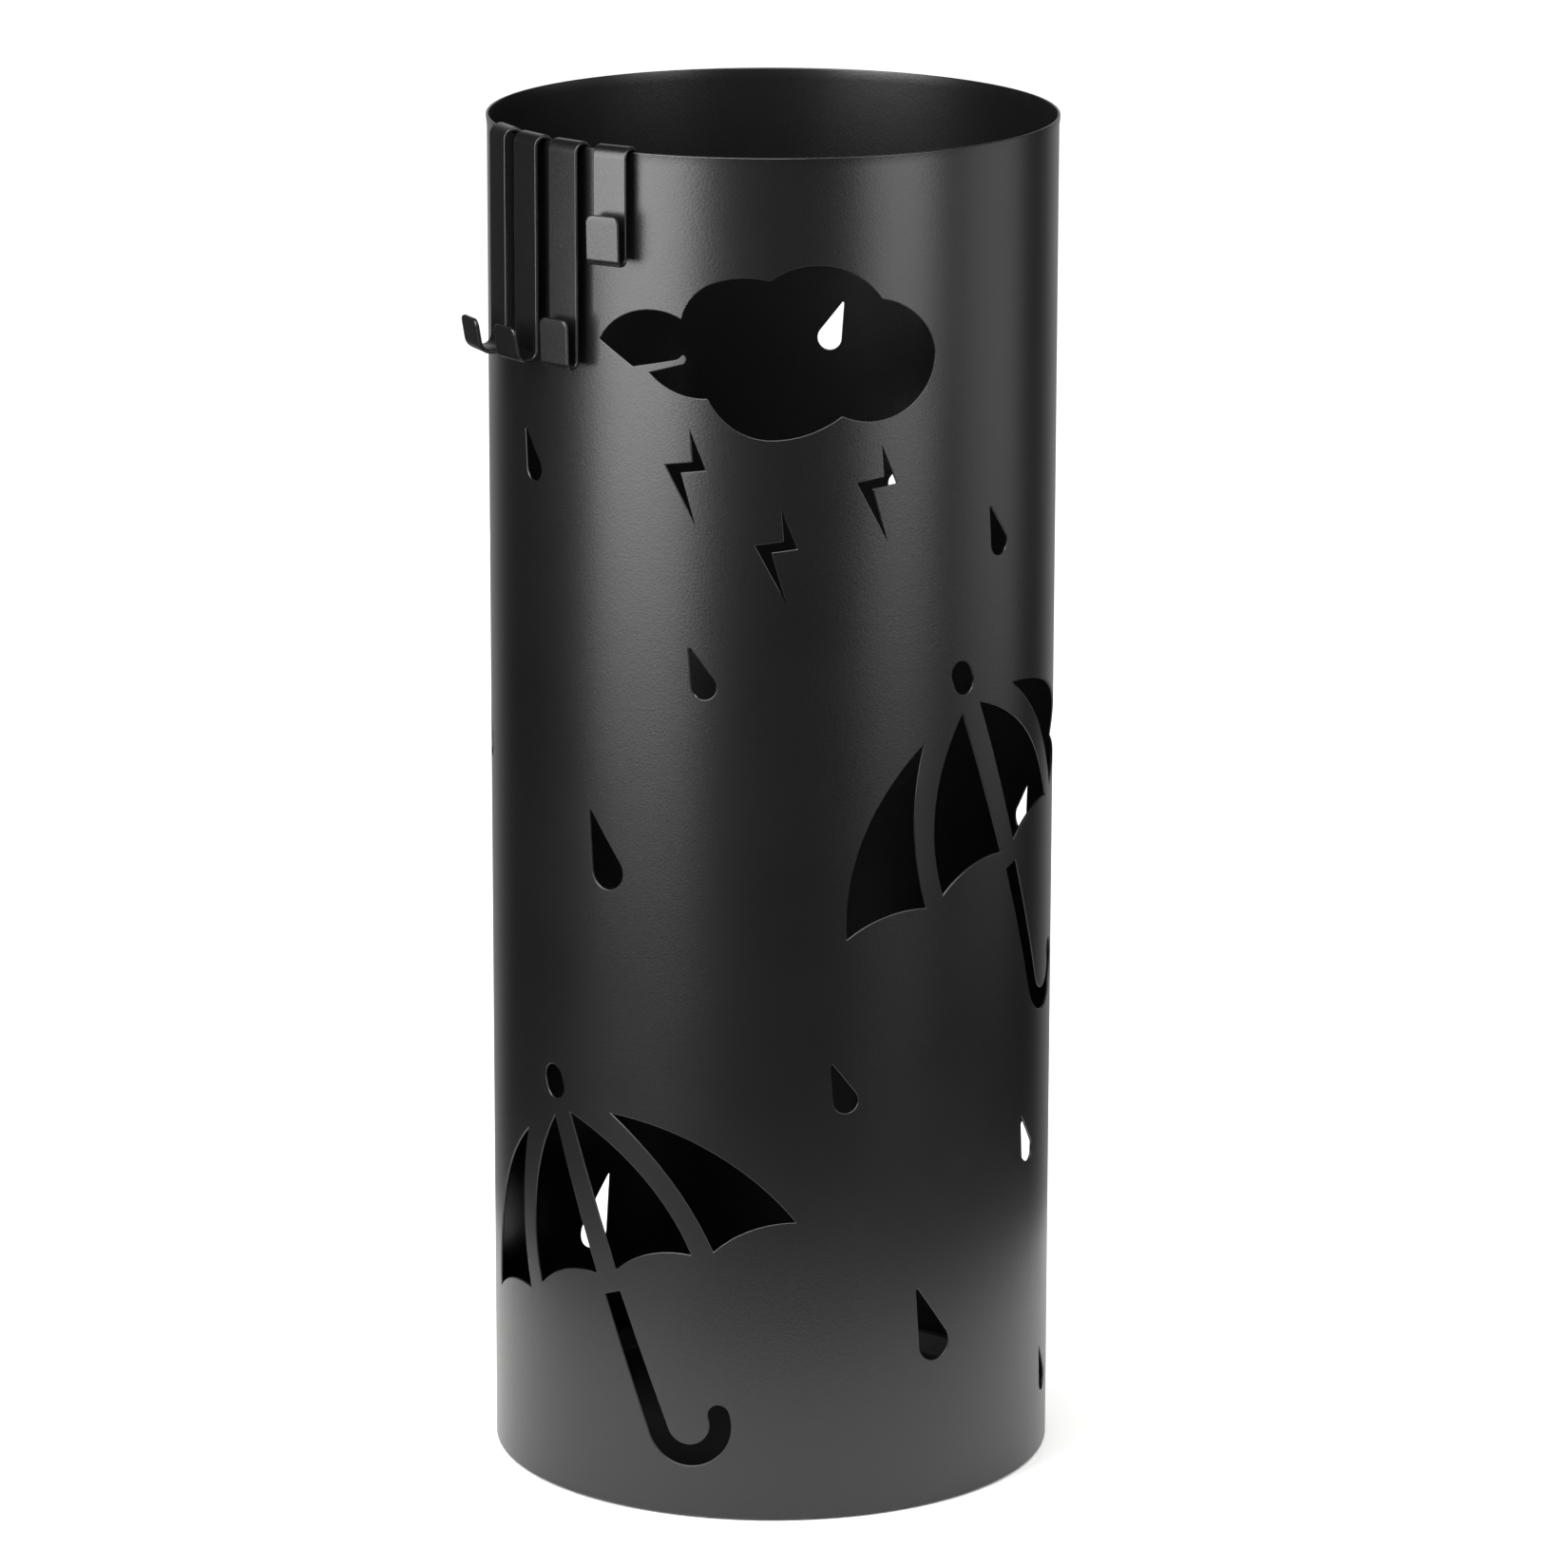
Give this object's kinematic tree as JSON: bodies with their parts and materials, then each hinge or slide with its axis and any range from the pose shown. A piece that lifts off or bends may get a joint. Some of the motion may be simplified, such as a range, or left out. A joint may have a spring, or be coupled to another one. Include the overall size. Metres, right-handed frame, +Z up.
{
  "type": "umbrella stand",
  "caption": "Cylindrical steel umbrella stand with cut-out weather motifs, a lift-out drip tray, and lift-off hooks over the rim for short umbrellas.",
  "frame": {"origin": "centre of the floor plane that the pads stand on, on the tube's axis", "axes": "+Z up along the tube, -Y towards the cloud side, which is the front"},
  "size_m": [0.208, 0.2006, 0.487],
  "materials": {
    "powder_coat": "satin black powder coat",
    "hook_coat": "satin black powder coat",
    "tray_plastic": "matte black",
    "pad_rubber": "matte black"
  },
  "bodies": {
    "stand": {"tube": "powder_coat", "base_plate": "powder_coat", "base_welds": "powder_coat", "foot_pad_1": "pad_rubber", "foot_pad_2": "pad_rubber", "foot_pad_3": "pad_rubber", "foot_pad_4": "pad_rubber"},
    "tray": {"drip_tray": "tray_plastic"},
    "hook_1": {"hook_1": "hook_coat"},
    "hook_2": {"hook_2": "hook_coat"},
    "hook_3": {"hook_3": "hook_coat"},
    "hook_4": {"hook_4": "hook_coat"}
  },
  "joints": [
    {"name": "tray_lift", "type": "slide", "parent": "stand", "child": "tray", "axis": [0, 0, 1], "range_m": [0, 0.5]},
    {"name": "hook_1_lift", "type": "slide", "parent": "stand", "child": "hook_1", "axis": [0, 0, 1], "range_m": [0, 0.1]},
    {"name": "hook_2_lift", "type": "slide", "parent": "stand", "child": "hook_2", "axis": [0, 0, 1], "range_m": [0, 0.1]},
    {"name": "hook_3_lift", "type": "slide", "parent": "stand", "child": "hook_3", "axis": [0, 0, 1], "range_m": [0, 0.1]},
    {"name": "hook_4_lift", "type": "slide", "parent": "stand", "child": "hook_4", "axis": [0, 0, 1], "range_m": [0, 0.06]}
  ]
}
